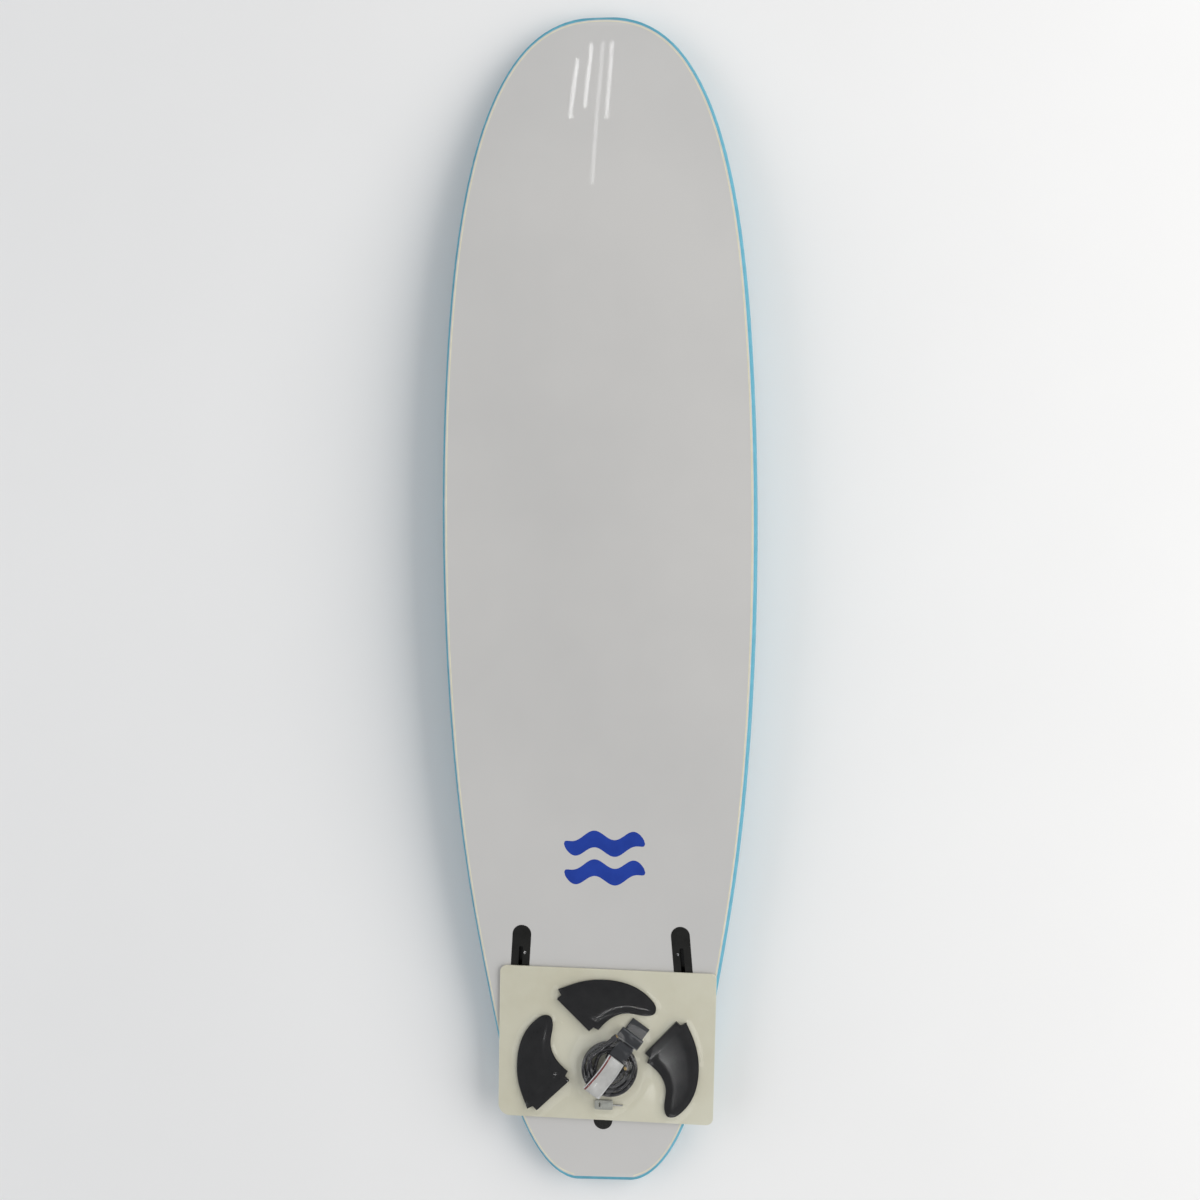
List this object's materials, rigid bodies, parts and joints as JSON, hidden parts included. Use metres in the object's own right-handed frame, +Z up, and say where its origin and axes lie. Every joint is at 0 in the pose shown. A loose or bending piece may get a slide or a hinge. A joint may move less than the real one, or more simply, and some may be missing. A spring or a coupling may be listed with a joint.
{
  "type": "surfboard",
  "caption": "Soft-top surfboard lying deck down, slick bottom up, with fin boxes and a film-wrapped card of fins, leash and key on its tail.",
  "frame": {"origin": "on the floor under the middle of the board's bounding box", "axes": "+X along the board to the nose, +Y to the board's left as seen from above with the nose ahead, +Z up, out of the slick bottom; the board lies deck down"},
  "size_m": [2.1334, 0.5681, 0.1157],
  "materials": {
    "deck_foam": "matte closed-cell foam, fine crosshatch",
    "slick": "smooth, soft gloss",
    "liner": "matte",
    "core_foam": "beaded foam",
    "ply": "plain ply",
    "box_plastic": "gloss",
    "steel": "satin",
    "card": "smooth",
    "film": "clear gloss",
    "fin_plastic": "fine satin",
    "cord_plastic": "gloss",
    "fitting_plastic": "gloss",
    "brass": "satin",
    "cuff_fabric": "woven",
    "saver_fabric": "woven with a dark red edge line",
    "key_plastic": "satin"
  },
  "bodies": {
    "board": {"deck_skin": "deck_foam", "bottom_slick": "slick", "bottom_liner": "liner", "core_left": "core_foam", "core_centre": "core_foam", "core_right": "core_foam", "stringer_left": "ply", "stringer_right": "ply", "fin_box_left": "box_plastic", "fin_box_right": "box_plastic", "fin_box_centre": "box_plastic", "leash_plug_cup": "box_plastic", "leash_plug_bar": "steel"},
    "card": {"pack_card": "card"},
    "film": {"pack_film": "film"},
    "fin_top": {"fin_top": "fin_plastic"},
    "fin_left": {"fin_left": "fin_plastic"},
    "fin_right": {"fin_right": "fin_plastic"},
    "leash": {"leash_coil": "cord_plastic", "leash_horn_cuff": "fitting_plastic", "leash_horn_saver": "fitting_plastic", "leash_swivel_cuff": "fitting_plastic", "leash_swivel_saver": "fitting_plastic", "leash_mount_cuff": "fitting_plastic", "leash_mount_saver": "fitting_plastic", "cuff_band": "cuff_fabric", "cuff_pad_lower": "cuff_fabric", "cuff_pad_upper": "cuff_fabric", "rail_saver": "saver_fabric"},
    "pin_cuff": {"leash_pin_cuff": "brass"},
    "pin_saver": {"leash_pin_saver": "brass"},
    "fin_key": {"fin_key_grip": "key_plastic", "fin_key_bit": "steel"},
    "grub_screw_left_1": {"grub_screw_left_1": "steel"},
    "grub_screw_left_2": {"grub_screw_left_2": "steel"},
    "grub_screw_right_1": {"grub_screw_right_1": "steel"},
    "grub_screw_right_2": {"grub_screw_right_2": "steel"},
    "grub_screw_centre_1": {"grub_screw_centre_1": "steel"},
    "grub_screw_centre_2": {"grub_screw_centre_2": "steel"}
  },
  "joints": [
    {"name": "pack_lift", "type": "slide", "parent": "board", "child": "card", "axis": [-0.1006, 0, 0.9949], "range_m": [0, 0.3]},
    {"name": "film_lift", "type": "slide", "parent": "card", "child": "film", "axis": [-0.1006, 0, 0.9949], "range_m": [0, 0.16]},
    {"name": "fin_top_lift", "type": "slide", "parent": "card", "child": "fin_top", "axis": [-0.1006, 0, 0.9949], "range_m": [0, 0.08]},
    {"name": "fin_left_lift", "type": "slide", "parent": "card", "child": "fin_left", "axis": [-0.1006, 0, 0.9949], "range_m": [0, 0.08]},
    {"name": "fin_right_lift", "type": "slide", "parent": "card", "child": "fin_right", "axis": [-0.1006, 0, 0.9949], "range_m": [0, 0.08]},
    {"name": "leash_lift", "type": "slide", "parent": "card", "child": "leash", "axis": [-0.1006, 0, 0.9949], "range_m": [0, 0.08]},
    {"name": "fin_key_lift", "type": "slide", "parent": "card", "child": "fin_key", "axis": [-0.1006, 0, 0.9949], "range_m": [0, 0.08]},
    {"name": "grub_screw_left_1_turn", "type": "hinge", "parent": "board", "child": "grub_screw_left_1", "pos_m": [-0.70534, 0.14418, 0.07451], "axis": [-0.1051, -0.3411, 0.9341], "range_deg": [-720, 0]},
    {"name": "grub_screw_left_2_turn", "type": "hinge", "parent": "board", "child": "grub_screw_left_2", "pos_m": [-0.64175, 0.13951, 0.07996], "axis": [-0.1051, -0.3411, 0.9341], "range_deg": [-720, 0]},
    {"name": "grub_screw_right_1_turn", "type": "hinge", "parent": "board", "child": "grub_screw_right_1", "pos_m": [-0.70534, -0.14418, 0.07451], "axis": [-0.1051, 0.3411, 0.9341], "range_deg": [-720, 0]},
    {"name": "grub_screw_right_2_turn", "type": "hinge", "parent": "board", "child": "grub_screw_right_2", "pos_m": [-0.64175, -0.13951, 0.07996], "axis": [-0.1051, 0.3411, 0.9341], "range_deg": [-720, 0]},
    {"name": "grub_screw_centre_1_turn", "type": "hinge", "parent": "board", "child": "grub_screw_centre_1", "pos_m": [-0.91879, -0.00617, 0.05285], "axis": [-0.1027, -0.342, 0.9341], "range_deg": [-720, 0]},
    {"name": "grub_screw_centre_2_turn", "type": "hinge", "parent": "board", "child": "grub_screw_centre_2", "pos_m": [-0.85518, -0.00617, 0.05984], "axis": [-0.1027, -0.342, 0.9341], "range_deg": [-720, 0]},
    {"name": "swivel_cuff_spin", "type": "hinge", "parent": "leash", "child": "pin_cuff", "pos_m": [-0.7934, -0.02185, 0.09864], "axis": [0.6128, -0.7878, 0.062], "continuous": true},
    {"name": "swivel_saver_spin", "type": "hinge", "parent": "leash", "child": "pin_saver", "pos_m": [-0.8507, -0.04049, 0.09163], "axis": [0.6709, -0.475, 0.5695], "continuous": true}
  ],
  "couplings": [
    {"joint": "fin_top_lift", "follows": "film_lift", "ratio": 0.5},
    {"joint": "fin_left_lift", "follows": "film_lift", "ratio": 0.5},
    {"joint": "fin_right_lift", "follows": "film_lift", "ratio": 0.5},
    {"joint": "leash_lift", "follows": "film_lift", "ratio": 0.5},
    {"joint": "fin_key_lift", "follows": "film_lift", "ratio": 0.5}
  ]
}
